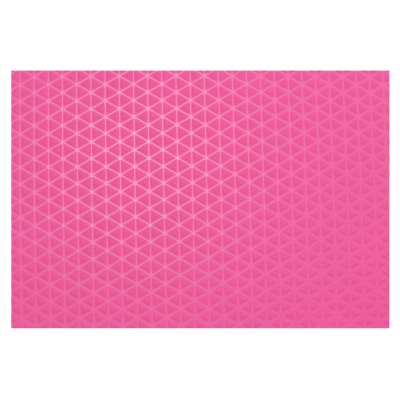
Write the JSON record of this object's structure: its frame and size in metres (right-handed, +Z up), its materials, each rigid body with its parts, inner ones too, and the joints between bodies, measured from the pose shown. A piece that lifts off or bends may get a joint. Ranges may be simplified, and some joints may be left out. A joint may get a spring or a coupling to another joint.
{
  "type": "scoring board",
  "caption": "Flat laminated board with a pink embossed skin whose fine triangular lattice of score grooves runs off all four edges, on a stiff core with round rubber feet.",
  "frame": {"origin": "middle of the plane that the four feet stand on", "axes": "+X along the board's width (the longer side), +Y along its depth, +Z up out of the working surface"},
  "size_m": [0.305, 0.208, 0.0082],
  "materials": {
    "pink_skin": "satin",
    "adhesive_film": "matte",
    "white_foam": "matte",
    "greyboard": "matte",
    "backing": "matte",
    "foot_adhesive": "matte",
    "foot_rubber": "matte"
  },
  "bodies": {
    "root": {"scored_skin": "pink_skin", "skin_adhesive": "adhesive_film", "cushion_foam": "white_foam", "foam_adhesive": "adhesive_film", "core_board": "greyboard", "backing_adhesive": "adhesive_film", "backing_sheet": "backing", "foot_adhesive_discs": "foot_adhesive", "foot_front_left": "foot_rubber", "foot_front_right": "foot_rubber", "foot_rear_left": "foot_rubber", "foot_rear_right": "foot_rubber"}
  },
  "joints": []
}
